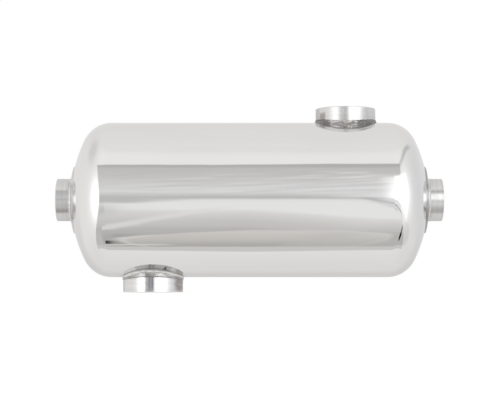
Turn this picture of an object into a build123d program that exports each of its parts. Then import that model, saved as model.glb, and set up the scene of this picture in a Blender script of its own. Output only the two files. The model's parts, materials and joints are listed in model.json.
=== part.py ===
from build123d import *
import os
from math import asin, atan2, cos, degrees, hypot, radians, sin, sqrt

# Shell-and-tube heat exchanger for pool water, all welded from stainless steel.
# The vessel lies along X with its origin at the middle of its axis, and +Z is up.
# Pool water flows round the tubes, between a socket under the left end and one over
# the right end. Heating water flows through the tubes, from one end socket to the other.
# All sizes are in millimetres. What is on the right-hand end is made first, and its
# partner on the left is the same piece turned half a turn about Y, or mirrored.

# Vessel
SHELL_R = 69.85
WALL = 2.0
DOME_START = 121.5
FLANGE_END = 124.5
KNUCKLE_R = 26.3
CROWN_R = 123.8
GROOVE_OUTSIDE = 1.5
GROOVE_ROOT = 0.5

# Sockets with parallel pipe threads, bored to the threads' minor diameters
POOL_X = 87.1
POOL_R = 27.1
POOL_BORE_R = 22.42
POOL_LENGTH = 22.0
POOL_RIM_TOP = 82.4
POOL_RIM_BOTTOM = 83.25
HEAT_R = 19.15
HEAT_BORE_R = 15.146
HEAT_LENGTH = 20.0
HEAT_RIM = 173.8
MOUTH_CHAMFER = 1.3
SMALL_CHAMFER = 0.8
RIM_CHAMFER = 0.4
HOLE_GAP = 0.1

# Disc on each dome, round the heating socket
DISC_R = 30.2
DISC_THICKNESS = 1.2

# Fillet welds: leg along the socket and toe out over the vessel. The pool sockets' welds
# are thin at the sides, over the barrel's crown, and wide where the barrel falls away.
POOL_LEG_SIDE = 2.5
POOL_LEG_FRONT = 5.4
POOL_TOE_SIDE = 1.0
POOL_TOE_FRONT = 4.0
POOL_WELD_CROWN = 0.5
WELD_ROOT = 1.0
WELD_SECTIONS = 7
HEAT_WELD_LEG = 1.4
HEAT_WELD_TOE = 1.6
HEAT_WELD_CROWN = 0.15
SHEET_WELD = 1.4
TUBE_WELD = 1.2

# Tube bundle, on a triangular pitch
TUBE_R = 8.0
TUBE_WALL = 1.0
TUBE_PITCH = 20.0
TUBE_END = 120.4
TUBE_GAP = 0.1
SHEET_FACE = 119.0
SHEET_THICKNESS = 4.0
SHEET_GAP = 0.1
TUBES_IN_COLUMN = {0: 5, 1: 6, 2: 5, 3: 2}

# Baffles, and the rods that hold them
BAFFLE_COUNT = 4
BAFFLE_SPACING = 34.8
BAFFLE_THICKNESS = 2.0
BAFFLE_GAP = 0.5
BAFFLE_HOLE_GAP = 0.2
BAFFLE_CUT = 40.0
ROD_R = 3.0
ROD_CIRCLE_R = 60.0
ROD_DEPTH = 2.5
ROD_PAST_NUT = 2.0
SPACER_R = 5.0
SPACER_BORE_R = 3.5
NUT_ACROSS_FLATS = 10.0
NUT_THICKNESS = 5.0

# Worked out from the sizes above
SHELL_BORE_R = SHELL_R - WALL
KNUCKLE_CENTRE_R = SHELL_R - KNUCKLE_R
CROWN_X = FLANGE_END - sqrt((CROWN_R - KNUCKLE_R) ** 2 - KNUCKLE_CENTRE_R**2)
CROWN_ANGLE = degrees(atan2(KNUCKLE_CENTRE_R, FLANGE_END - CROWN_X))
COLUMN_STEP = TUBE_PITCH * sqrt(3) / 2
ROD_Z = TUBE_PITCH * 1.5
ROD_Y = sqrt(ROD_CIRCLE_R**2 - ROD_Z**2)
NUT_X = (BAFFLE_COUNT - 1) / 2 * BAFFLE_SPACING + BAFFLE_THICKNESS / 2


def turned(*edges):
    """Solid turned about X from a closed outline of edges drawn in (x, radius)."""
    return revolve(Plane.XZ * make_face(edges), axis=Axis.X)


def turned_outline(*corners):
    """Solid turned about X from an outline with straight sides, given as (x, radius)."""
    return turned(Polyline(*corners, close=True))


def bar(radius, x_from, x_to, y=0.0, z=0.0):
    """Round bar along X."""
    across = Plane(origin=(x_from, y, z), x_dir=(0, 1, 0), z_dir=(1, 0, 0))
    return extrude(across * Circle(radius), x_to - x_from)


def pipe(radius, bore_radius, x_from, x_to, y=0.0, z=0.0):
    """Round tube along X."""
    return bar(radius, x_from, x_to, y, z) - bar(bore_radius, x_from - 1, x_to + 1, y, z)


def crown_point(offset, radius):
    """Point at this radius on the dome's crown, offset outwards from its outer skin."""
    return CROWN_X + sqrt((CROWN_R + offset) ** 2 - radius**2), radius


def crown_arc(offset, radius_from, radius_to):
    """Stretch of the dome's crown between two radii, offset outwards from its outer skin."""
    reach = CROWN_R + offset
    start = degrees(asin(radius_from / reach))
    end = degrees(asin(radius_to / reach))
    return CenterArc((CROWN_X, 0), reach, start, end - start)


def knuckle_arc(offset):
    """The dome's tight bend, from its crown to its straight flange."""
    centre = (FLANGE_END, KNUCKLE_CENTRE_R)
    return CenterArc(centre, KNUCKLE_R + offset, CROWN_ANGLE, 90 - CROWN_ANGLE)


def on_left(piece):
    """The same piece on the left-hand end, mirrored."""
    return mirror(piece, about=Plane.YZ)


def half_turn(piece):
    """The same piece diagonally opposite, turned half a turn about Y."""
    return Rot(0, 180, 0) * piece


# Shell


def shell_barrel():
    """Rolled tube with a hole for each pool socket, bevelled at its ends for the girth welds."""
    outside = DOME_START - GROOVE_OUTSIDE
    root = DOME_START - GROOVE_ROOT
    barrel = turned_outline(
        (-outside, SHELL_R), (outside, SHELL_R), (root, SHELL_BORE_R), (-root, SHELL_BORE_R)
    )
    hole = extrude(Pos(POOL_X, 0) * Circle(POOL_R + HOLE_GAP), SHELL_R + 1)
    return barrel - hole - half_turn(hole)


def dome():
    """Dished end with a short straight flange, a tight knuckle and a shallow crown."""
    hole_r = HEAT_R + HOLE_GAP
    joint_r = CROWN_R * sin(radians(CROWN_ANGLE))
    inner_joint_r = (CROWN_R - WALL) * sin(radians(CROWN_ANGLE))
    outside = (DOME_START + GROOVE_OUTSIDE, SHELL_R)
    root = (DOME_START + GROOVE_ROOT, SHELL_BORE_R)
    return turned(
        Line(outside, (FLANGE_END, SHELL_R)),
        knuckle_arc(0),
        crown_arc(0, hole_r, joint_r),
        Line(crown_point(0, hole_r), crown_point(-WALL, hole_r)),
        crown_arc(-WALL, hole_r, inner_joint_r),
        knuckle_arc(-WALL),
        Line((FLANGE_END, SHELL_BORE_R), root),
        Line(root, outside),
    )


def girth_weld():
    """Weld metal in the groove between barrel and dome, ground flush outside."""
    return turned_outline(
        (DOME_START - GROOVE_OUTSIDE, SHELL_R),
        (DOME_START + GROOVE_OUTSIDE, SHELL_R),
        (DOME_START + GROOVE_ROOT, SHELL_BORE_R),
        (DOME_START - GROOVE_ROOT, SHELL_BORE_R),
    )


def end_disc():
    """Dished disc laid on the dome's crown, round the heating socket."""
    hole_r = HEAT_R + HOLE_GAP
    return turned(
        crown_arc(0, hole_r, DISC_R),
        Line(crown_point(0, DISC_R), crown_point(DISC_THICKNESS, DISC_R)),
        crown_arc(DISC_THICKNESS, hole_r, DISC_R),
        Line(crown_point(DISC_THICKNESS, hole_r), crown_point(0, hole_r)),
    )


# Sockets and their welds


def socket(outer_r, bore_r, length):
    """Socket standing on Z with its mouth up and its rim at z = 0."""
    outline = Polyline(
        (bore_r + SMALL_CHAMFER, -length),
        (outer_r, -length),
        (outer_r, -RIM_CHAMFER),
        (outer_r - RIM_CHAMFER, 0),
        (bore_r + MOUTH_CHAMFER, 0),
        (bore_r, -MOUTH_CHAMFER),
        (bore_r, SMALL_CHAMFER - length),
        close=True,
    )
    return revolve(Plane.XZ * make_face(outline), axis=Axis.Z)


def pool_socket(rim):
    """Large socket on top of the barrel, at its right-hand end, with its rim at this height."""
    return Pos(POOL_X, 0, rim) * socket(POOL_R, POOL_BORE_R, POOL_LENGTH)


def heating_socket():
    """Small socket in the middle of the right-hand dome."""
    return Pos(HEAT_RIM, 0, 0) * Rot(0, 90, 0) * socket(HEAT_R, HEAT_BORE_R, HEAT_LENGTH)


def barrel_height(radius, angle):
    """Height of the barrel's skin at a distance and an angle round the pool socket."""
    return sqrt(SHELL_R**2 - (radius * sin(radians(angle))) ** 2)


def pool_weld_section(angle):
    """Weld's section at an angle round the pool socket, with its root in both walls."""
    frontness = sin(radians(angle)) ** 2
    leg = POOL_LEG_SIDE + (POOL_LEG_FRONT - POOL_LEG_SIDE) * frontness
    toe_r = POOL_R + POOL_TOE_SIDE + (POOL_TOE_FRONT - POOL_TOE_SIDE) * frontness
    inner_r = POOL_R - WELD_ROOT
    top = barrel_height(POOL_R, angle) + leg
    toe = barrel_height(toe_r, angle) - WELD_ROOT
    run = hypot(toe_r - inner_r, top - toe)
    middle = (
        (inner_r + toe_r) / 2 + POOL_WELD_CROWN * (top - toe) / run,
        (top + toe) / 2 + POOL_WELD_CROWN * (toe_r - inner_r) / run,
    )
    outline = [
        ThreePointArc((inner_r, top), middle, (toe_r, toe)),
        Line((toe_r, toe), (inner_r, toe)),
        Line((inner_r, toe), (inner_r, top)),
    ]
    outward = (cos(radians(angle)), sin(radians(angle)), 0)
    across = (sin(radians(angle)), -cos(radians(angle)), 0)
    return Plane(origin=(0, 0, 0), x_dir=outward, z_dir=across) * make_face(outline)


def pool_weld():
    """Fillet weld round the pool socket, following the barrel's curve."""
    step = 90 / (WELD_SECTIONS - 1)
    quarter = loft([pool_weld_section(i * step) for i in range(WELD_SECTIONS)])
    half = quarter + mirror(quarter, about=Plane.XZ)
    ring = Pos(POOL_X, 0, 0) * (half + mirror(half, about=Plane.YZ))
    wall = extrude(Pos(POOL_X, 0) * Circle(POOL_R), 2 * SHELL_R)
    return ring - wall - bar(SHELL_R, -DOME_START, DOME_START)


def heating_weld():
    """Small fillet weld between the end disc and the heating socket."""
    toe_r = HEAT_R + HEAT_WELD_TOE
    corner = crown_point(DISC_THICKNESS, HEAT_R)
    toe = crown_point(DISC_THICKNESS, toe_r)
    top = (corner[0] + HEAT_WELD_LEG, HEAT_R)
    middle = ((top[0] + toe[0]) / 2 + HEAT_WELD_CROWN, (HEAT_R + toe_r) / 2 + HEAT_WELD_CROWN)
    return turned(
        Line(corner, top),
        ThreePointArc(top, middle, toe),
        crown_arc(DISC_THICKNESS, HEAT_R, toe_r),
    )


# Tube bundle


def tube_places():
    """Name and (y, z) of each tube, column by column from the front."""
    places = {}
    for column in range(-3, 4):
        count = TUBES_IN_COLUMN[abs(column)]
        for row in range(count):
            height = (row - (count - 1) / 2) * TUBE_PITCH
            places[f"tube_{len(places) + 1:02d}"] = (column * COLUMN_STEP, height)
    return places


def tube_bores(gap, x_from, x_to):
    """Bars that cut the tubes' holes in a plate."""
    return [bar(TUBE_R + gap, x_from, x_to, y, z) for y, z in tube_places().values()]


def rod_places():
    """(y, z) of each tie rod."""
    return [(side * ROD_Y, up * ROD_Z) for side in (-1, 1) for up in (-1, 1)]


def tube_sheet():
    """Thick plate across the barrel's right-hand end, which holds the tubes' ends."""
    inner_face = SHEET_FACE - SHEET_THICKNESS
    plate = bar(SHELL_BORE_R - SHEET_GAP, inner_face, SHEET_FACE)
    return plate - tube_bores(TUBE_GAP, inner_face - 1, SHEET_FACE + 1)


def rod_sheet():
    """The left-hand tube sheet, with a blind hole for each tie rod's end."""
    sheet = on_left(tube_sheet())
    inner_face = SHEET_THICKNESS - SHEET_FACE
    holes = [bar(ROD_R + TUBE_GAP, inner_face - ROD_DEPTH, inner_face + 1, y, z) for y, z in rod_places()]
    return sheet - holes


def sheet_weld():
    """Fillet weld between the tube sheet's outer face and the barrel."""
    return turned_outline(
        (SHEET_FACE, SHELL_BORE_R),
        (SHEET_FACE + SHEET_WELD, SHELL_BORE_R),
        (SHEET_FACE, SHELL_BORE_R - SHEET_WELD),
    )


def tube_end_welds():
    """Ring of weld round each tube's end, on the tube sheet's outer face."""
    ring = turned_outline(
        (SHEET_FACE, TUBE_R),
        (SHEET_FACE + TUBE_WELD, TUBE_R),
        (SHEET_FACE, TUBE_R + TUBE_WELD),
    )
    return Compound([Pos(0, y, z) * ring for y, z in tube_places().values()])


def baffle_x(number):
    """Middle of a baffle's thickness, numbered from the left."""
    return (number - (BAFFLE_COUNT - 1) / 2) * BAFFLE_SPACING


def baffle(number):
    """Plate across the barrel, cut away by turns at its top and bottom, that steers the flow."""
    x_from = baffle_x(number) - BAFFLE_THICKNESS / 2
    x_to = x_from + BAFFLE_THICKNESS
    plate = bar(SHELL_BORE_R - BAFFLE_GAP, x_from, x_to)
    window_z = BAFFLE_CUT + SHELL_R / 2
    window = Pos(baffle_x(number), 0, window_z if number % 2 == 0 else -window_z) * Box(
        2 * BAFFLE_THICKNESS, 2 * SHELL_R, SHELL_R
    )
    rods = [bar(ROD_R + BAFFLE_HOLE_GAP, x_from - 1, x_to + 1, y, z) for y, z in rod_places()]
    return plate - window - tube_bores(BAFFLE_HOLE_GAP, x_from - 1, x_to + 1) - rods


def tie_rods():
    """Rods from the left-hand tube sheet through every baffle."""
    start = SHEET_THICKNESS - SHEET_FACE - ROD_DEPTH
    end = NUT_X + NUT_THICKNESS + ROD_PAST_NUT
    return Compound([bar(ROD_R, start, end, y, z) for y, z in rod_places()])


def spacers():
    """Sleeves on the tie rods, which set the gaps between the plates."""
    half = BAFFLE_THICKNESS / 2
    faces = [SHEET_THICKNESS - SHEET_FACE - half] + [baffle_x(i) for i in range(BAFFLE_COUNT)]
    sleeves = []
    for y, z in rod_places():
        for left, right in zip(faces, faces[1:]):
            sleeves.append(pipe(SPACER_R, SPACER_BORE_R, left + half, right - half, y, z))
    return Compound(sleeves)


def rod_nuts():
    """Hexagon nut on each tie rod, against the last baffle."""
    nuts = []
    for y, z in rod_places():
        face = Plane(origin=(NUT_X, y, z), x_dir=(0, 1, 0), z_dir=(1, 0, 0))
        hexagon = RegularPolygon(NUT_ACROSS_FLATS / 2, 6, major_radius=False)
        nuts.append(extrude(face * (hexagon - Circle(ROD_R)), NUT_THICKNESS))
    return Compound(nuts)


pieces = {
    "shell_barrel": shell_barrel(),
    "dome_right": dome(),
    "dome_left": on_left(dome()),
    "girth_weld_right": girth_weld(),
    "girth_weld_left": on_left(girth_weld()),
    "end_disc_right": end_disc(),
    "end_disc_left": on_left(end_disc()),
    "pool_socket_top": pool_socket(POOL_RIM_TOP),
    "pool_socket_bottom": half_turn(pool_socket(POOL_RIM_BOTTOM)),
    "pool_weld_top": pool_weld(),
    "pool_weld_bottom": half_turn(pool_weld()),
    "heating_socket_right": heating_socket(),
    "heating_socket_left": half_turn(heating_socket()),
    "heating_weld_right": heating_weld(),
    "heating_weld_left": on_left(heating_weld()),
    "tube_sheet_right": tube_sheet(),
    "tube_sheet_left": rod_sheet(),
    "tube_sheet_weld_right": sheet_weld(),
    "tube_sheet_weld_left": on_left(sheet_weld()),
    "tube_end_welds_right": tube_end_welds(),
    "tube_end_welds_left": on_left(tube_end_welds()),
    "tie_rods": tie_rods(),
    "tie_rod_spacers": spacers(),
    "tie_rod_nuts": rod_nuts(),
}
for number in range(BAFFLE_COUNT):
    pieces[f"baffle_{number + 1}"] = baffle(number)
for name, (y, z) in tube_places().items():
    pieces[name] = pipe(TUBE_R, TUBE_R - TUBE_WALL, -TUBE_END, TUBE_END, y, z)

os.makedirs("parts", exist_ok=True)
for name, piece in pieces.items():
    export_step(piece, f"parts/{name}.step")
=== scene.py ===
import json
from math import asin, cos, hypot, pi, radians, sin, sqrt

import bpy
from mathutils import Matrix, Vector, noise


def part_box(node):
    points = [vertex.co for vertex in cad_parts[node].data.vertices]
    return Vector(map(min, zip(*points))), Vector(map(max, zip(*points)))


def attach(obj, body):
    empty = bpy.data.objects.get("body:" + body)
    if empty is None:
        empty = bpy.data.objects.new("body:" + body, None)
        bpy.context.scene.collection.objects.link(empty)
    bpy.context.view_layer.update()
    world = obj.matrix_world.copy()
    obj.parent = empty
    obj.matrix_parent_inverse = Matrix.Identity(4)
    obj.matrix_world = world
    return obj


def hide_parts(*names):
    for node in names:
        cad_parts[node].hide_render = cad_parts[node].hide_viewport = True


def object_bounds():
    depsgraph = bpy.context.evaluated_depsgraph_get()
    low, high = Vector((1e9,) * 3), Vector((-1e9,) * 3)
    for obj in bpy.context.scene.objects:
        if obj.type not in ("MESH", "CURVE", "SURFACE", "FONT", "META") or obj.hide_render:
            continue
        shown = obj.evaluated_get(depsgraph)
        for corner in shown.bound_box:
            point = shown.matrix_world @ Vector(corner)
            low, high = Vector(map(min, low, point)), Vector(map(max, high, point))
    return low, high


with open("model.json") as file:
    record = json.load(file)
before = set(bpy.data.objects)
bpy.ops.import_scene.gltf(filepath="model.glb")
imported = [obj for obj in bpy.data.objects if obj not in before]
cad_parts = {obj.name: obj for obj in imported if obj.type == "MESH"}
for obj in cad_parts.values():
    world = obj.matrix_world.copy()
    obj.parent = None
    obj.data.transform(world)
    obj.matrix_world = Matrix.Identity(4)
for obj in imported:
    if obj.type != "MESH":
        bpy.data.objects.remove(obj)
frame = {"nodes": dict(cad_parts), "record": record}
cad_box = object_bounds()

# Looks of the pool heat exchanger: polished vessel, turned and threaded sockets, hand-laid
# weld beads and the tube bundle inside. Sizes are in metres and come from the frame where
# it has them. The vessel lies along X.

MM = 0.001

# Read from the frame
SHELL_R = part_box("shell_barrel")[1].z
MOUNTS = {mount["name"]: mount for mount in frame["record"]["mounts"]}

# Parallel pipe threads, cut to their major diameter behind the bore
THREAD_PITCH = 2.309 * MM
THREAD_DEPTH = 1.479 * MM
THREAD_SHARPNESS = 0.93
ROWS_PER_PITCH = 16

# Sockets: chamfers of the bore's mouth, of its inner end and of the outer rim, how far the
# rim's corners are rounded, lengths, and facets round each kind
MOUTH_CHAMFER = 1.3 * MM
SMALL_CHAMFER = 0.8 * MM
RIM_CHAMFER = 0.4 * MM
EDGE_ROUND = 0.12 * MM
POOL_LENGTH = 22.0 * MM
HEAT_LENGTH = 20.0 * MM
POOL_COLUMNS = 160
HEAT_COLUMNS = 128

# Weld beads: leg up the socket and toe out over the vessel, at the sides and at the front,
# how deep the root reaches, how far a collar stands off the wall at its top, and columns and
# rows of each kind's mesh
POOL_LEGS = (2.5 * MM, 5.4 * MM)
POOL_TOES = (1.0 * MM, 4.0 * MM)
HEAT_LEG = 1.4 * MM
HEAT_TOE = 1.6 * MM
BEAD_ROOT = 0.6 * MM
COLLAR_STEP = 0.4 * MM
POOL_BEAD_GRID = (720, 26)
HEAT_BEAD_GRID = (320, 12)

# Domes: radius and centre of the crown, and the disc that lies on it
CROWN_R = 123.8 * MM
CROWN_X = 37.27 * MM
DISC_THICKNESS = 1.2 * MM
DISC_R = 30.2 * MM

# Studio: lens and sensor in millimetres, the camera's elevation in degrees, its shift as a
# part of the picture's width. STEEL is the part of the light that the polished vessel mirrors,
# LAMP is how bright it shows a lamp, in display levels
CAMERA_DISTANCE = 1.3
CAMERA_ELEVATION = -3.21
CAMERA_LENS = 103.3
CAMERA_SENSOR = 36.0
CAMERA_SHIFT = 0.0008
FLOOR_GAP = 0.3 * MM
FLOOR_SIZE = 12.0
FLOOR_GREY = 0.32
FLOOR_GLOW = 0.80
STEEL = 0.86
LAMP = 295


# Node trees


class Field:
    """A number that a node tree works out, used with ordinary arithmetic."""

    def __init__(self, tree, socket):
        self.tree = tree
        self.socket = socket

    def math(self, operation, *others):
        return self.tree.math(operation, self, *others)

    def __add__(self, other):
        return self.math("ADD", other)

    def __sub__(self, other):
        return self.math("SUBTRACT", other)

    def __mul__(self, other):
        return self.math("MULTIPLY", other)

    def __truediv__(self, other):
        return self.math("DIVIDE", other)

    def __neg__(self):
        return self.math("MULTIPLY", -1.0)

    def __abs__(self):
        return self.math("ABSOLUTE")

    def __rsub__(self, other):
        return self.tree.math("SUBTRACT", other, self)

    def least(self, other):
        return self.math("MINIMUM", other)

    def most(self, other):
        return self.math("MAXIMUM", other)

    def root(self):
        return self.math("SQRT")

    def rise(self, low, high, start=0.0, end=1.0):
        """Goes smoothly from start at low to end at high."""
        node = self.tree.node("ShaderNodeMapRange", interpolation_type="SMOOTHSTEP")
        values = (self, low, high, start, end)
        for name, value in zip(("Value", "From Min", "From Max", "To Min", "To Max"), values):
            self.tree.give(node.inputs[name], value)
        return Field(self.tree, node.outputs["Result"])

    def fall(self, low, high):
        """Goes smoothly from 1 at low to 0 at high."""
        return self.rise(low, high, 1.0, 0.0)


class Tree:
    """A node tree that is filled by method calls."""

    def __init__(self, node_tree):
        self.nodes = node_tree.nodes
        self.links = node_tree.links
        self.nodes.clear()

    def node(self, kind, **settings):
        node = self.nodes.new(kind)
        for name, value in settings.items():
            setattr(node, name, value)
        return node

    def give(self, socket, value):
        """Sets an input to a constant, or links a field or a socket to it."""
        if isinstance(value, Field):
            self.links.new(value.socket, socket)
        elif isinstance(value, bpy.types.NodeSocket):
            self.links.new(value, socket)
        else:
            socket.default_value = value

    def math(self, operation, *values):
        node = self.node("ShaderNodeMath", operation=operation)
        for socket, value in zip(node.inputs, values):
            self.give(socket, value)
        return Field(self, node.outputs[0])

    def split(self, vector):
        node = self.node("ShaderNodeSeparateXYZ")
        self.give(node.inputs[0], vector)
        return [Field(self, output) for output in node.outputs]

    def vector(self, *values):
        node = self.node("ShaderNodeCombineXYZ")
        for socket, value in zip(node.inputs, values):
            self.give(socket, value)
        return node.outputs[0]

    def position(self):
        """Place on the piece, in metres in the shared frame."""
        return self.split(self.node("ShaderNodeTexCoord").outputs["Object"])

    def noise(self, vector, scale=1.0, detail=3.0, roughness=0.5):
        """Seedless noise field, about 0 to 1, whose pattern hangs on the place alone."""
        node = self.node("ShaderNodeTexNoise")
        settings = {"Vector": vector, "Scale": scale, "Detail": detail, "Roughness": roughness}
        for name, value in settings.items():
            self.give(node.inputs[name], value)
        return Field(self, node.outputs["Fac"])

    def mix(self, factor, first, second):
        node = self.node("ShaderNodeMix", data_type="RGBA")
        self.give(node.inputs["Factor"], factor)
        for name, colour in (("A", first), ("B", second)):
            socket = next(s for s in node.inputs if s.name == name and s.type == "RGBA")
            self.give(socket, (*colour, 1.0) if isinstance(colour, tuple) else colour)
        return next(s for s in node.outputs if s.type == "RGBA")

    def ramp(self, field, low, high, stops):
        """Colour that runs through the stops, given as {value: colour}, from low to high."""
        node = self.node("ShaderNodeValToRGB")
        self.give(node.inputs[0], (field - low) / (high - low))
        elements = node.color_ramp.elements
        while len(elements) < len(stops):
            elements.new(0.5)
        for element, (value, colour) in zip(elements, sorted(stops.items())):
            element.position = (value - low) / (high - low)
            element.color = (*colour, 1.0)
        return node.outputs["Color"]

    def bump(self, height, depth, below=None):
        """Normal of a surface raised by a height field, times depth in metres."""
        node = self.node("ShaderNodeBump")
        node.inputs["Strength"].default_value = 1.0
        node.inputs["Distance"].default_value = depth
        self.give(node.inputs["Height"], height)
        if below is not None:
            self.give(node.inputs["Normal"], below)
        return node.outputs["Normal"]


# Materials


def metal(name, anisotropy=0.0):
    """New metal material: its tree and its shader."""
    material = bpy.data.materials.new(name)
    material.use_nodes = True
    tree = Tree(material.node_tree)
    shader = tree.node("ShaderNodeBsdfPrincipled")
    shader.inputs["Metallic"].default_value = 1.0
    shader.inputs["Anisotropic"].default_value = anisotropy
    output = tree.node("ShaderNodeOutputMaterial")
    tree.give(output.inputs["Surface"], shader.outputs[0])
    return material, tree, shader


def polished_steel():
    """Mirror polish with faint waves from the wheel, a light haze and heat tint by the welds."""
    material, tree, shader = metal("polished_steel_finish")
    x, y, z = tree.position()
    along = tree.vector(x * 9.0, y * 120.0, z * 120.0)
    broad = tree.vector(x * 14.0, y * 34.0, z * 34.0)
    fine = tree.vector(x * 60.0, y * 1400.0, z * 1400.0)
    streaks = tree.noise(along, detail=4.0)
    cloud = tree.noise(broad, detail=2.0)
    lines = tree.noise(fine, detail=2.0)

    side = x * z.math("SIGN") - POOL_X
    from_pool_axis = (side * side + y * y).root()
    tinted = from_pool_axis.fall(POOL_R + 2.0 * MM, POOL_R + 7.5 * MM) * streaks.rise(0.3, 0.7, 0.4, 1.0)
    colour = tree.mix(cloud.rise(0.3, 0.7), (0.853, 0.850, 0.846), (0.867, 0.865, 0.862))
    colour = tree.mix(tinted * 0.5, colour, (0.52, 0.49, 0.46))
    tree.give(shader.inputs["Base Color"], colour)
    roughness = cloud.rise(0.35, 0.75, 0.022, 0.045) + lines * 0.012 + tinted * 0.10
    tree.give(shader.inputs["Roughness"], roughness)
    waves = tree.bump(cloud, 0.10 * MM)
    waves = tree.bump(streaks, 0.012 * MM, waves)
    tree.give(shader.inputs["Normal"], tree.bump(lines, 0.0004 * MM, waves))
    return material


def lathe(tree, axis):
    """Radius from the turning axis, place along it and both places across it, for sockets on
    Z or on X."""
    x, y, z = tree.position()
    if axis == "X":
        return (y * y + z * z).root(), x, y, z
    side = x - z.math("SIGN") * POOL_X
    return (side * side + y * y).root(), z, side, y


def turned_steel(name, axis, weld_at, sheen, anisotropy, bright, patches_and_painted_reflections=()):
    """Lathe finish: rings of tool marks, a satin sheen across them, heat tint by the weld.
    sheen is its least roughness, bright the grey of its clean metal. The last argument lists
    marks painted on the front: place across, half-width, first and last distance from the
    vessel's axis, all in millimetres, then colour and strength. Dark marks across the front's
    middle are a painted reflection of the dark band in front of the socket, one beside a
    highlight is painted shade that narrows it, and the rest are darker patches."""
    material, tree, shader = metal(name, anisotropy)
    radius, along, side, front = lathe(tree, axis)
    tangent = tree.node("ShaderNodeTangent", direction_type="RADIAL", axis=axis)
    tree.give(shader.inputs["Tangent"], tangent.outputs[0])
    marks = tree.noise(tree.vector(radius * 3400.0, along * 3400.0, side * 6.0), detail=2.0)
    bands = tree.noise(tree.vector(radius * 420.0, along * 420.0, front * 12.0), detail=2.0)
    smears = tree.noise(tree.vector(side * 90.0, front * 90.0, along * 200.0), detail=4.0)
    heat = abs(along).fall(weld_at, weld_at + 7.0 * MM)
    heat = heat * smears.rise(0.42, 0.66) * radius.rise(0.9 * HEAT_R, HEAT_R)
    colour = tree.mix(bands.rise(0.3, 0.7), (0.92 * bright,) * 3, (bright,) * 3)
    colour = tree.mix(heat * 0.3, colour, (0.46, 0.38, 0.33))
    # Each mark is painted into the colour: dark ones across the front's middle are a painted reflection, one
    # beside a highlight is painted shade, the rest are darker patches
    for across, half_width, first, last, mark_colour, strength in patches_and_painted_reflections:
        aside = abs(side - across * MM) + (smears - 0.5) * 0.8 * half_width * MM
        ragged = abs(along) + (smears - 0.5) * 6 * MM
        patch_and_reflection_mask = aside.fall(0.3 * half_width * MM, half_width * MM)
        patch_and_reflection_mask = patch_and_reflection_mask * ragged.rise(first * MM, (first + 1) * MM) * ragged.fall((last - 4) * MM, last * MM)
        patch_and_reflection_mask = patch_and_reflection_mask * front.fall(-2 * MM, 2 * MM) * smears.rise(0.25, 0.5, 0.7, 1.0)
        colour = tree.mix(patch_and_reflection_mask * strength, colour, mark_colour)
    tree.give(shader.inputs["Base Color"], colour)
    tree.give(shader.inputs["Roughness"], marks.rise(0.2, 0.8, sheen, sheen + 0.05) + smears * 0.06)
    rings = tree.bump(marks, 0.0006 * MM)
    tree.give(shader.inputs["Normal"], tree.bump(bands, 0.002 * MM, rings))
    return material


def satin_steel():
    """Pressed disc with a brushed, slightly cloudy face. The right one's rim is darker."""
    material, tree, shader = metal("satin_steel_finish")
    radius, along, y, z = lathe(tree, "X")
    rings = tree.noise(tree.vector(radius * 1500.0, y * 40.0, z * 40.0), detail=3.0)
    cloud = tree.noise(tree.vector(along * 80.0, y * 80.0, z * 80.0), detail=3.0)
    colour = tree.mix(cloud.rise(0.3, 0.7), (0.74, 0.73, 0.72), (0.82, 0.815, 0.81))
    edge = radius.rise(DISC_R - 0.5 * MM, DISC_R - 0.1 * MM) * along.rise(-1 * MM, 1 * MM)
    colour = tree.mix(edge * 0.7, colour, (0.36, 0.36, 0.37))
    tree.give(shader.inputs["Base Color"], colour)
    tree.give(shader.inputs["Roughness"], rings.rise(0.25, 0.75, 0.16, 0.26) + cloud * 0.05)
    tree.give(shader.inputs["Normal"], tree.bump(rings, 0.003 * MM))
    return material


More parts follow.
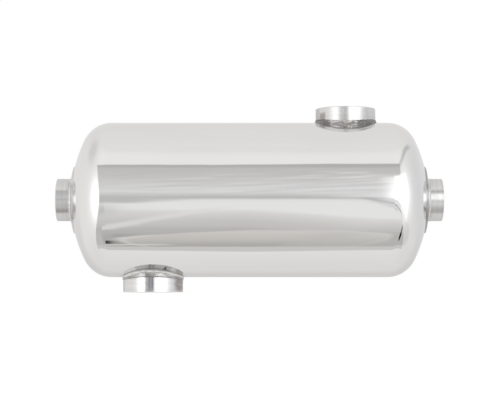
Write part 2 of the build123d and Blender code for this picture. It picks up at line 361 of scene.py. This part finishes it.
def weld_metal(name, dull, bright, relief, bead_r=0.0, toe=0.0, shine_left_at_shaded_sides=1.0, even=0.0):
    """Weld bead: bright and dull streaks along it and heat tint. On a pool socket's bead, whose
    wall has radius bead_r, painted light is in its colour: painted shade darkens the toe and the
    bead's left and right sides, leaving a painted highlight along the crest in its middle, and a
    painted shadow darkens the edge at the wall. The argument after toe is the part of the shine
    that is left at the bead's shaded sides, even is the least shine of its streaks."""
    material, tree, shader = metal(name)
    x, y, z = tree.position()
    place = tree.vector(x, y, z)
    side = x - z.math("SIGN") * POOL_X
    from_axis = (side * side + y * y).root()
    streaks = tree.noise(tree.vector(from_axis * 1100.0, side * 170.0, z * 800.0), detail=4.0, roughness=0.6)
    patches = tree.noise(place, scale=420.0, detail=3.0)
    specks = tree.noise(place, scale=1700.0, detail=3.0)
    tints = tree.noise(place, scale=110.0, detail=2.0)
    shine = streaks.rise(0.36, 0.58, even, 1.0) * 0.7 + patches.rise(0.38, 0.62, even, 1.0) * 0.3
    if bead_r:
        # Painted shade on the toe and on the bead's left and right sides, leaving a painted highlight along
        # the crest in the middle
        painted_crest_highlight = from_axis.fall(bead_r + 0.45 * toe, bead_r + 0.75 * toe)
        painted_middle_highlight = abs(side + 0.14 * bead_r).fall(0.32 * bead_r, 0.58 * bead_r)
        shine = shine * painted_crest_highlight.rise(0.0, 1.0, 0.45, 1.0) * painted_middle_highlight.rise(0.0, 1.0, shine_left_at_shaded_sides, 1.0)
    colour = tree.mix(shine, dull, bright)
    colour = tree.mix(tints.rise(0.52, 0.75) * 0.3, colour, (0.46, 0.38, 0.32))
    colour = tree.mix(tints.fall(0.25, 0.42) * 0.2, colour, (0.36, 0.38, 0.44))
    if bead_r:
        # Painted shadow along the crease where the bead meets the socket's wall
        painted_undercut_shadow = from_axis.fall(bead_r + 0.20 * MM, bead_r + 0.75 * MM)
        colour = tree.mix(painted_undercut_shadow * 0.8, colour, (0.09, 0.085, 0.08))
    tree.give(shader.inputs["Base Color"], colour)
    tree.give(shader.inputs["Roughness"], shine.rise(0.0, 1.0, 0.32, 0.10) + specks * 0.08)
    grain = tree.bump(specks, 0.2 * relief, tree.bump(patches, relief))
    tree.give(shader.inputs["Normal"], tree.bump(streaks, 1.2 * relief, grain))
    return material


def tube_steel():
    """Drawn tube: lines along its length and a dull sheen."""
    material, tree, shader = metal("tube_steel_finish")
    x, y, z = tree.position()
    lines = tree.noise(tree.vector(x * 18.0, y * 1300.0, z * 1300.0), detail=3.0)
    cloud = tree.noise(tree.vector(x * 30.0, y * 60.0, z * 60.0), detail=3.0)
    tree.give(shader.inputs["Base Color"], tree.mix(cloud, (0.60, 0.59, 0.58), (0.74, 0.73, 0.72)))
    tree.give(shader.inputs["Roughness"], lines.rise(0.3, 0.7, 0.24, 0.34) + cloud * 0.06)
    tree.give(shader.inputs["Normal"], tree.bump(lines, 0.002 * MM))
    return material


def plate_steel():
    """Cold-rolled plate: rolling grain one way, with cloudy pickling marks."""
    material, tree, shader = metal("plate_steel_finish")
    x, y, z = tree.position()
    grain = tree.noise(tree.vector(x * 300.0, y * 900.0, z * 45.0), detail=4.0)
    cloud = tree.noise(tree.vector(x, y, z), scale=70.0, detail=4.0)
    tree.give(shader.inputs["Base Color"], tree.mix(cloud, (0.52, 0.51, 0.50), (0.70, 0.69, 0.68)))
    tree.give(shader.inputs["Roughness"], grain.rise(0.3, 0.7, 0.30, 0.44))
    tree.give(shader.inputs["Normal"], tree.bump(grain, 0.004 * MM))
    return material


def rod_steel():
    """Drawn rod and turned nuts: a fine cross grain over a greyer steel."""
    material, tree, shader = metal("rod_steel_finish")
    x, y, z = tree.position()
    grain = tree.noise(tree.vector(x * 1800.0, y * 90.0, z * 90.0), detail=3.0)
    cloud = tree.noise(tree.vector(x, y, z), scale=120.0, detail=3.0)
    tree.give(shader.inputs["Base Color"], tree.mix(cloud, (0.50, 0.49, 0.48), (0.66, 0.65, 0.64)))
    tree.give(shader.inputs["Roughness"], grain.rise(0.3, 0.7, 0.28, 0.38))
    tree.give(shader.inputs["Normal"], tree.bump(grain, 0.003 * MM))
    return material


# Meshes turned or laid round an axis


def ring_mesh(name, rows, columns, place):
    """Closed ring of quads: place(row, angle) gives each point, rows go round the section."""
    points = []
    faces = []
    for column in range(columns):
        angle = 2 * pi * column / columns
        points += [place(row, angle) for row in range(rows)]
    for column in range(columns):
        here = column * rows
        there = (column + 1) % columns * rows
        for row in range(rows):
            after = (row + 1) % rows
            faces.append((here + row, there + row, there + after, here + after))
    mesh = bpy.data.meshes.new(name)
    mesh.from_pydata(points, [], faces)
    mesh.polygons.foreach_set("use_smooth", [True] * len(faces))
    mesh.set_sharp_from_angle(angle=radians(50))
    piece = bpy.data.objects.new(name, mesh)
    bpy.context.scene.collection.objects.link(piece)
    return piece


def rounded(before, corner, after, size, steps=5):
    """Points that round a corner of an outline, with one more on each side to hold it."""
    towards = (Vector(before) - Vector(corner)).normalized()
    away = (Vector(after) - Vector(corner)).normalized()
    start = Vector(corner) + towards * size
    end = Vector(corner) + away * size
    points = [start + towards * size]
    for step in range(steps):
        t = step / (steps - 1)
        points.append(start * (1 - t) ** 2 + Vector(corner) * 2 * t * (1 - t) + end * t**2)
    return points + [end + away * size]


def thread_cut(turns):
    """Depth of the thread, 0 at its crest to 1 at its root, after this many turns."""
    return 0.5 - 0.5 * asin(THREAD_SHARPNESS * cos(2 * pi * turns)) / asin(THREAD_SHARPNESS)


def threaded_socket(name, outer_r, bore_r, length, columns):
    """Socket on Z with its rim at z = 0, rounded edges and a helical thread in its bore."""
    top_edge = (outer_r, -RIM_CHAMFER)
    rim_edge = (outer_r - RIM_CHAMFER, 0.0)
    mouth = (bore_r + MOUTH_CHAMFER, 0.0)
    outside = [Vector((outer_r, -length))]
    outside += rounded((outer_r, -length), top_edge, rim_edge, EDGE_ROUND)
    outside += rounded(top_edge, rim_edge, mouth, EDGE_ROUND)
    outside.append(Vector(mouth))
    bore_rows = round(length / THREAD_PITCH * ROWS_PER_PITCH)

    def place(row, angle):
        if row < len(outside):
            radius, height = outside[row]
        else:
            height = -length * (row - len(outside) + 1) / bore_rows
            chamfers = (bore_r, bore_r + MOUTH_CHAMFER + height, bore_r + SMALL_CHAMFER - length - height)
            cut = thread_cut(height / THREAD_PITCH - angle / (2 * pi))
            radius = max(*chamfers, bore_r + THREAD_DEPTH * cut)
        return radius * cos(angle), radius * sin(angle), height

    return ring_mesh(name, len(outside) + bore_rows, columns, place)


def weld_bead(name, wall_r, legs, toes, skin, columns, section_rows, relief):
    """Fillet bead on Z round a socket's wall. legs and toes are its sizes at the sides and at
    the front, skin(radius, angle) is the height of the vessel. relief has its collar (1 for a
    bead that stands up the socket and flares at its toe, 0 for a straight fillet), its crown
    as a part of its width, the pitch and depth of its ripples and the depth of its lumps."""
    hidden = 3
    collar, crown, pitch, ripple_depth, lump_depth = relief
    ripples = round(2 * pi * wall_r / pitch)

    def place(row, angle):
        frontness = sin(angle) ** 2
        around = Vector((cos(angle), sin(angle), 0.0)) * wall_r
        wander = noise.noise(around * 160 + Vector((0, 0, 5)))
        edge = noise.noise(around * 520 + Vector((0, 0, 9)))
        leg = (legs[0] + (legs[1] - legs[0]) * frontness) * (1 + 0.10 * wander + 0.07 * edge)
        toe = (toes[0] + (toes[1] - toes[0]) * frontness) * (1 + 0.12 * edge - 0.12 * wander)
        top = skin(wall_r, angle) + leg
        foot = skin(wall_r + toe, angle)
        if row >= section_rows:
            low = foot - BEAD_ROOT
            inside = wall_r - BEAD_ROOT
            radius, height = ((wall_r + toe, low), (inside, low), (inside, top))[row - section_rows]
        else:
            s = row / (section_rows - 1)
            flare = COLLAR_STEP * min(1.0, s / 0.08) + (toe - COLLAR_STEP) * max(0.0, 2 * s - 1) ** 1.6
            out = Vector((top - foot, toe)).normalized()
            phase = angle / (2 * pi) * ripples + 3.0 * (s - 0.5) ** 2
            swirl = 0.5 * noise.noise(Vector((around.x, around.y, s * 4 * MM)) * 300)
            scallop = abs(sin(pi * (phase + swirl)))
            strand = Vector((around.x * 190, around.y * 190, s * 3.2))
            strands = noise.noise(strand) + 0.6 * noise.noise(strand * 2.3)
            held = sin(pi * s) ** 0.6 * (0.35 + 0.65 * frontness)
            rise = held * (crown * hypot(toe, top - foot) + ripple_depth * scallop + lump_depth * strands)
            radius = wall_r + toe * s * (1 - collar) + flare * collar + rise * out.x
            height = top + (foot - top) * s + rise * out.y
        return radius * cos(angle), radius * sin(angle), height

    return ring_mesh(name, section_rows + hidden, columns, place)


def barrel_skin(radius, angle):
    """Height of the barrel's skin at a distance and an angle round a pool socket."""
    return sqrt(SHELL_R**2 - (radius * sin(angle)) ** 2)


def disc_skin(radius, angle):
    """Height of the end disc's face above the middle of the vessel, the same all round."""
    return CROWN_X + sqrt((CROWN_R + DISC_THICKNESS) ** 2 - radius**2)


def fit_piece(piece, node, place, material):
    """Stands a piece at its CAD node's place, in that node's stead."""
    piece.data.transform(place)
    piece.data.materials.append(material)
    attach(piece, "root")
    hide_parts(node)


def turn_about_y(degrees):
    return Matrix.Rotation(radians(degrees), 4, "Y")


low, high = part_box("pool_socket_top")
POOL_X = (low.x + high.x) / 2
POOL_R = (high.x - low.x) / 2
low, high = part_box("heating_socket_right")
HEAT_R = (high.z - low.z) / 2
HEAT_RIM = high.x

POOL_FINISHES = {
    "top": turned_steel("turned_steel_top", "Z", SHELL_R, 0.16, 0.5, 0.76, [
        (-21.8, 3.4, 66, 79, (0.30, 0.27, 0.255), 0.85),
        (-26.5, 3.4, 66, 84, (0.50, 0.49, 0.48), 0.7),
        # Painted reflection of the dark band in front, down the top socket's middle, then painted shade over
        # the edge of its right-hand highlight
        (-0.8, 3.4, 66, 84, (0.52, 0.515, 0.51), 0.6),
        (15.5, 5.5, 66, 84, (0.55, 0.545, 0.54), 0.55),
    ]),
    "bottom": turned_steel("turned_steel_bottom", "Z", SHELL_R, 0.07, 0.2, 0.81, [
        # Painted reflection of the dark band in front, down the bottom socket's middle, in three marks
        (-1.6, 1.2, 66, 82, (0.18, 0.19, 0.22), 0.6),
        (1.2, 1.4, 66, 82, (0.14, 0.15, 0.18), 0.85),
        (0.6, 5.4, 66, 84, (0.46, 0.46, 0.48), 0.65),
        (24.6, 6.0, 66, 84, (0.36, 0.33, 0.31), 0.95),
        (-26.5, 3.0, 66, 84, (0.55, 0.54, 0.53), 0.6),
    ]),
}
heating_steel = turned_steel("turned_steel_ends", "X", HEAT_RIM - 12 * MM, 0.14, 0.5, 0.75)

# Each pool bead's finish, then its relief: see weld_bead
BEADS = {
    "top": (
        weld_metal(
            "weld_top_finish", (0.13, 0.125, 0.12), (0.95, 0.94, 0.93), 0.08 * MM,
            # The bead's sides keep a quarter of their shine under the painted side shade
            bead_r=POOL_R, toe=POOL_TOES[1], shine_left_at_shaded_sides=0.25, even=0.2,
        ),
        (0.0, 0.12, 1.3 * MM, 0.12 * MM, 0.34 * MM),
    ),
    "bottom": (
        weld_metal(
            "weld_bottom_finish", (0.46, 0.45, 0.435), (0.95, 0.945, 0.94), 0.012 * MM,
            # The bead's sides keep most of their shine under the painted side shade
            bead_r=POOL_R, toe=POOL_TOES[1], shine_left_at_shaded_sides=0.9, even=0.5,
        ),
        (1.0, 0.0, 1.9 * MM, 0.05 * MM, 0.16 * MM),
    ),
}
small_weld = weld_metal("weld_metal_finish", (0.62, 0.61, 0.60), (0.90, 0.89, 0.88), 0.012 * MM)
HEAT_RELIEF = (0.0, 0.10, 1.4 * MM, 0.02 * MM, 0.02 * MM)

for end, degrees in (("top", 0), ("bottom", 180)):
    bore_r = MOUNTS[f"pool_socket_{end}"]["dims"]["r_mm"] * MM
    socket = threaded_socket(f"pool_socket_{end}_threaded", POOL_R, bore_r, POOL_LENGTH, POOL_COLUMNS)
    at_end = turn_about_y(degrees) @ Matrix.Translation((POOL_X, 0, 0))
    low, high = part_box(f"pool_socket_{end}")
    at_rim = at_end @ Matrix.Translation((0, 0, max(high.z, -low.z)))
    fit_piece(socket, f"pool_socket_{end}", at_rim, POOL_FINISHES[end])
    bead_steel, relief = BEADS[end]
    bead = weld_bead(
        f"pool_weld_{end}_bead", POOL_R, POOL_LEGS, POOL_TOES, barrel_skin, *POOL_BEAD_GRID, relief
    )
    fit_piece(bead, f"pool_weld_{end}", at_end, bead_steel)

for side, degrees in (("right", 90), ("left", -90)):
    bore_r = MOUNTS[f"heating_socket_{side}"]["dims"]["r_mm"] * MM
    socket = threaded_socket(f"heating_socket_{side}_threaded", HEAT_R, bore_r, HEAT_LENGTH, HEAT_COLUMNS)
    at_rim = turn_about_y(degrees) @ Matrix.Translation((0, 0, HEAT_RIM))
    fit_piece(socket, f"heating_socket_{side}", at_rim, heating_steel)
    bead = weld_bead(
        f"heating_weld_{side}_bead", HEAT_R, (HEAT_LEG, HEAT_LEG), (HEAT_TOE, HEAT_TOE), disc_skin,
        *HEAT_BEAD_GRID, HEAT_RELIEF,
    )
    fit_piece(bead, f"heating_weld_{side}", turn_about_y(degrees), small_weld)

FINISHES = {
    "polished_steel": polished_steel(),
    "satin_steel": satin_steel(),
    "turned_steel": heating_steel,
    "weld_metal": small_weld,
    "tube_steel": tube_steel(),
    "plate_steel": plate_steel(),
    "rod_steel": rod_steel(),
}
for node in frame["nodes"].values():
    for material_slot in node.material_slots:
        material_slot.material = FINISHES[material_slot.material.name.split(".")[0]]


# Studio. Its places are angles in degrees, its strengths go from 0 to 1 and its colours are
# given as the vessel shows them.


def shows(red, green=None, blue=None):
    """Radiance that the polished steel shows as this colour, in display levels up to 255."""
    levels = (red, red if green is None else green, red if blue is None else blue)
    return tuple(((level / 255 + 0.055) / 1.055) ** 2.4 / STEEL for level in levels)


def soft(distance):
    """Glow of a diffused lamp: 1 in the middle, a half at 0.8 and faint by 2."""
    reach = distance / 0.8
    return distance.tree.math("DIVIDE", 1.0, reach * reach * reach + 1.0)


class Sky:
    """Directions in the world's tree. azimuth is 0 towards -Y and grows towards +X, left and
    right are how far a direction lies to that side. x is its part along the vessel: a place
    along the barrel mirrors about the same x all the way round. height is the elevation with
    level lines that bend a little."""

    def __init__(self, tree):
        self.x, y, z = tree.split(tree.node("ShaderNodeTexCoord").outputs["Generated"])
        self.azimuth = tree.math("ARCTAN2", self.x, -y) * (180 / pi)
        self.elevation = tree.math("ARCSINE", z) * (180 / pi)
        self.left = (-self.azimuth).most(0.0)
        self.right = self.azimuth.most(0.0)
        self.height = self.elevation * (self.azimuth * self.azimuth * 5e-5 + 1)

    def spot(self, at_azimuth, at_elevation, width, height):
        """Distance from a point of the tent, in half-widths and half-heights."""
        across = (self.azimuth - at_azimuth) / width
        up = (self.elevation - at_elevation) / height
        return (across * across + up * up).root()


def tent_walls(tree, sky):
    """Pale walls with cooler and warmer areas, a curved seam, a darker middle at the back, a
    dim corner and a lamp's glow on each side."""
    azimuth, elevation = sky.azimuth, sky.elevation
    wall = tree.ramp(elevation, -90, 90, {
        -90: shows(220, 219, 217),
        -55: shows(214, 213, 211),
        -20: shows(214, 213, 212),
        5: shows(214, 213, 213),
        40: shows(214, 213, 212),
        65: shows(218, 217, 215),
        90: shows(219, 218, 216),
    })
    facing = abs(azimuth).fall(20, 100) * abs(elevation).rise(40, 55) * abs(elevation).fall(64, 76)
    wall = tree.mix(facing * 0.8, wall, shows(228, 227, 225))
    cool = sky.spot(105, 12, 50, 32).fall(0.3, 1.3)
    wall = tree.mix(cool, wall, shows(208, 207, 209))
    warm = sky.spot(-95, -5, 60, 45).fall(0.3, 1.4)
    wall = tree.mix(warm, wall, shows(223, 221, 219))
    shade = sky.spot(-100, 48, 34, 17).fall(0.2, 1.2)
    wall = tree.mix(shade, wall, shows(203, 201, 200))
    beside = azimuth - 82
    arch = 53 - beside.most(0) * beside.most(0) * 0.0085 - beside.least(0) * beside.least(0) * 0.0036
    seam = abs(elevation - arch).fall(0.8, 6.0) * azimuth.rise(28, 40) * azimuth.fall(112, 130)
    wall = tree.mix(seam, wall, shows(181, 181, 183))
    back = abs(azimuth).rise(115, 160) * abs(elevation + 20).fall(6, 32)
    wall = tree.mix(back * 0.9, wall, shows(198, 197, 197))
    corner = sky.spot(66, -44, 26, 20).fall(0.6, 1.15)
    wall = tree.mix(corner * 0.9, wall, shows(196, 195, 193))
    wall = tree.mix(soft(sky.spot(-42, -1, 20, 29)), wall, shows(LAMP))
    return tree.mix(soft(sky.spot(48, 4, 26, 32)), wall, shows(268))


def room(tree, sky):
    """What the opening shows above the table: the room's floor, its horizon with a haze on the
    right, and folds of cloth."""
    x, azimuth, elevation, left, right = sky.x, sky.azimuth, sky.elevation, sky.left, sky.right
    slide = right.least(6.0) * 2.2 * sky.height.rise(-60, -44) * sky.height.fall(-22, -12)
    seen = tree.ramp(sky.height + slide, -90, 60, {
        -76: shows(165, 164, 161),
        -58: shows(172, 171, 169),
        -50: shows(180, 179, 177),
        -45.5: shows(183, 181, 179),
        -41: shows(191, 190, 188),
        -33: shows(196, 195, 193),
        -26: shows(205, 204, 202),
        -20: shows(214, 213, 213),
        -16: shows(226),
        -8: shows(226),
        -4: shows(223),
        -1.5: shows(208),
        -0.2: shows(182),
        2: shows(188),
        6: shows(203),
        9: shows(213),
        15: shows(208),
        21: shows(203, 202, 202),
        27: shows(198, 197, 197),
        33: shows(194, 192, 192),
        44: shows(188, 187, 185),
        47: shows(176, 175, 173),
        49.5: shows(176, 175, 173),
    })
    folds = tree.noise(tree.vector(azimuth * 0.30, (elevation - azimuth * 1.4) * 0.30, 3.0), detail=5.0)
    cloth = elevation.rise(3, 9) * elevation.fall(34, 46) * azimuth.fall(9, 16)
    wisps = folds.rise(0.50, 0.66) * azimuth.rise(-7, 6, 0.25, 1.0) * cloth
    seen = tree.mix(wisps * 0.6, seen, shows(228, 227, 227))
    creases = folds.fall(0.36, 0.46) * cloth
    seen = tree.mix(creases * 0.35, seen, shows(184, 183, 184))
    hazy = right.rise(2.0, 5.0) * elevation.rise(-0.5, 1.5) * elevation.fall(4, 9)
    seen = tree.mix(hazy * 0.85, seen, shows(217))

    # Its left end: a sill under the horizon, a dim floor and a pale streak across it
    step_down = (left * left * 0.22).least(5.0)
    sill = elevation.rise(-5.0 - step_down, 0.5 - step_down) * elevation.fall(-0.5, 1.0)
    seen = tree.mix(sill * left.rise(1.0, 5.0), seen, shows(186))
    dim = (left.rise(1, 19) + x.fall(-0.101, -0.086) * 0.4).least(1.0)
    dim = dim * elevation.fall(-18, -3) * elevation.rise(-30, -18)
    seen = tree.mix(dim * 0.95, seen, shows(190))
    under = left.rise(20, 42) * elevation.fall(-48, -38)
    seen = tree.mix(under, seen, shows(186, 184, 181))
    bent = left.least(8.0).most(6.0) - 6.0
    streak = elevation + left.least(6.0) * 4.45 + bent * 3.4 + 10.5
    streak = abs(streak).fall(1.0, 4.5) * left.rise(0.5, 2.0) * left.fall(18.0, 28.0)
    return tree.mix(streak * 0.8, seen, shows(218, 217, 215))


def table(tree, sky, seen):
    """Adds the table top to what is seen: a warm strip low in the opening, with its lit rim and
    lip, the dark gaps at its ends and the tent's pale front edge under it."""
    x, azimuth, elevation, left, right = sky.x, sky.azimuth, sky.elevation, sky.left, sky.right
    edge = -47.5 - left * 1.13 - (left.most(10.5) - 10.5) * 1.6
    edge = edge - (right.most(5) - 5) * 1.15 - (right.most(9.5) - 9.5) * 2.5
    top = tree.ramp(elevation, -90, -40, {
        -75: shows(170, 168, 164),
        -70: shows(176, 174, 171),
        -66: shows(186, 184, 180),
        -62: shows(192, 189, 185),
        -57: shows(196, 192, 189),
        -52: shows(201, 198, 195),
        -47: shows(199, 196, 194),
    })
    left_gap = sky.spot(-17, -67.0, 8.5, 3.6).fall(0.6, 1.1) * x.fall(-0.0962, -0.0930)
    seen = tree.mix(left_gap, seen, shows(10))
    shadow = abs(elevation - edge - 2.5).fall(0.5, 3.0) * left.rise(7, 11) * x.rise(-0.096, -0.093)
    seen = tree.mix(shadow * 0.6, seen, shows(145, 144, 141))
    on_table = (elevation - edge).fall(-1.0, 0.4) * azimuth.fall(38, 46) * x.rise(-0.0955, -0.0940)
    seen = tree.mix(on_table, seen, top)
    rim = abs(elevation - edge + 1.0).fall(0.4, 2.0) * (left.rise(5, 9) + right.rise(4, 7)).least(1)
    seen = tree.mix(rim * on_table * azimuth.fall(14, 20) * 0.8, seen, shows(210, 208, 205))
    lip = abs(elevation + 71.5).fall(0.5, 2.2) * left.rise(9, 12)
    seen = tree.mix(lip * 0.8, seen, shows(206, 205, 203))
    greyer = right.rise(3.0, 6.0) * elevation.fall(-60, -40)
    seen = tree.mix(greyer * 0.5, seen, shows(186, 186, 183))
    glossy = right.rise(6.5, 9.5) * on_table * elevation.rise(-64, -55)
    seen = tree.mix(glossy * 0.6, seen, shows(203, 202, 200))
    front_edge = sky.height.fall(-76.5, -75.2)
    seen = tree.mix(front_edge, seen, shows(196, 195, 193))
    above_gap = sky.spot(46, -42, 3.5, 8).fall(0.4, 1.2)
    seen = tree.mix(above_gap * 0.8, seen, shows(60))
    right_gap = sky.spot(46.5, -52, 5.5, 8.5).fall(0.6, 1.15)
    return tree.mix(right_gap, seen, shows(10))


def opening(sky):
    """1 inside the tent's opening towards the viewer, wider at its top and its foot, 0 outside."""
    azimuth, elevation = sky.azimuth, sky.elevation
    half_width = elevation * elevation * elevation.rise(-5, 5, 0.0165, 0.0118) + 26
    trimmed = half_width.least(elevation * 0.42 + 20)
    half_width = half_width + (trimmed - half_width) * elevation.rise(30, 31) * azimuth.rise(0, 1)
    inside = (abs(azimuth) - half_width).fall(-2.0, 2.0)
    lift = azimuth.least(5).most(-1) * 0.28 - 0.85
    return inside * (sky.height - lift).fall(50.0, 51.8) * sky.height.rise(-86.5, -84.0)


def right_softbox(tree, sky, tent):
    """Adds a lamp in front of the opening's right-hand side, and two dark rails that bend round
    its lower edge."""
    azimuth, elevation = sky.azimuth, sky.elevation
    bottom_edge = -0.5 - azimuth * azimuth * 0.0078
    above = (elevation - bottom_edge).rise(-2.0, 1.0)
    lit = sky.x.rise(0.089, 0.112) * azimuth.fall(44, 64) * elevation.fall(27, 35) * above
    tent = tree.mix(lit, tent, shows(LAMP))
    near = azimuth.least(6).most(4.7) - 4.7
    beyond = azimuth.most(6) - 6
    bend_down = azimuth.most(30) - 30
    rail = -0.5 - near * 6.5 - beyond * 0.38 - bend_down * bend_down * 0.06
    first = abs(elevation - rail).fall(0.4, 2.0) * azimuth.rise(4.2, 5) * azimuth.fall(38, 44)
    tent = tree.mix(first * 0.75, tent, shows(150, 150, 152))
    second = abs(elevation - rail + near * 2.6 + 1.2).fall(0.4, 1.8)
    second = second * azimuth.rise(4.4, 5) * azimuth.fall(12, 24)
    return tree.mix(second * 0.55, tent, shows(160, 160, 162))


def studio_world():
    """Light tent seen by direction: pale walls, a darker opening towards -Y and a softbox on
    each side of it. Behind the vessel the viewer sees plain white."""
    world = bpy.data.worlds.new("studio_world")
    bpy.context.scene.world = world
    world.use_nodes = True
    tree = Tree(world.node_tree)
    sky = Sky(tree)
    through_opening = table(tree, sky, room(tree, sky))
    tent = tree.mix(opening(sky), tent_walls(tree, sky), through_opening)
    tent = right_softbox(tree, sky, tent)

    light = tree.node("ShaderNodeBackground")
    tree.give(light.inputs["Color"], tent)
    backdrop = tree.node("ShaderNodeBackground")
    backdrop.inputs["Color"].default_value = (1.0, 1.0, 1.0, 1.0)
    shown = tree.node("ShaderNodeMixShader")
    tree.give(shown.inputs[0], tree.node("ShaderNodeLightPath").outputs["Is Camera Ray"])
    tree.give(shown.inputs[1], light.outputs[0])
    tree.give(shown.inputs[2], backdrop.outputs[0])
    tree.give(tree.node("ShaderNodeOutputWorld").inputs["Surface"], shown.outputs[0])


def pale_floor():
    """Plain pale floor under the bottom socket's rim, softly lit."""
    half = FLOOR_SIZE / 2
    level = cad_box[0].z - FLOOR_GAP
    corners = [(-half, -half, level), (half, -half, level), (half, half, level), (-half, half, level)]
    mesh = bpy.data.meshes.new("floor")
    mesh.from_pydata(corners, [], [(0, 1, 2, 3)])
    floor = bpy.data.objects.new("floor", mesh)
    bpy.context.scene.collection.objects.link(floor)
    material = bpy.data.materials.new("pale_floor")
    material.use_nodes = True
    tree = Tree(material.node_tree)
    shader = tree.node("ShaderNodeBsdfPrincipled")
    shader.inputs["Base Color"].default_value = (FLOOR_GREY, FLOOR_GREY, FLOOR_GREY, 1.0)
    shader.inputs["Roughness"].default_value = 1.0
    shader.inputs["Specular IOR Level"].default_value = 0.0
    shader.inputs["Emission Color"].default_value = (1.0, 1.0, 1.0, 1.0)
    shader.inputs["Emission Strength"].default_value = FLOOR_GLOW
    tree.give(tree.node("ShaderNodeOutputMaterial").inputs["Surface"], shader.outputs[0])
    mesh.materials.append(material)
    floor.visible_glossy = False


def camera():
    """Long lens a little below the vessel's middle, square to its length."""
    data = bpy.data.cameras.new("camera")
    data.lens = CAMERA_LENS
    data.sensor_width = CAMERA_SENSOR
    data.shift_x = CAMERA_SHIFT
    viewer = bpy.data.objects.new("camera", data)
    tilt = radians(CAMERA_ELEVATION)
    viewer.location = (0, -CAMERA_DISTANCE * cos(tilt), CAMERA_DISTANCE * sin(tilt))
    viewer.rotation_euler = (radians(90) - tilt, 0, 0)
    bpy.context.scene.collection.objects.link(viewer)
    bpy.context.scene.camera = viewer


studio_world()
pale_floor()
camera()
bpy.context.scene.view_settings.view_transform = "Standard"
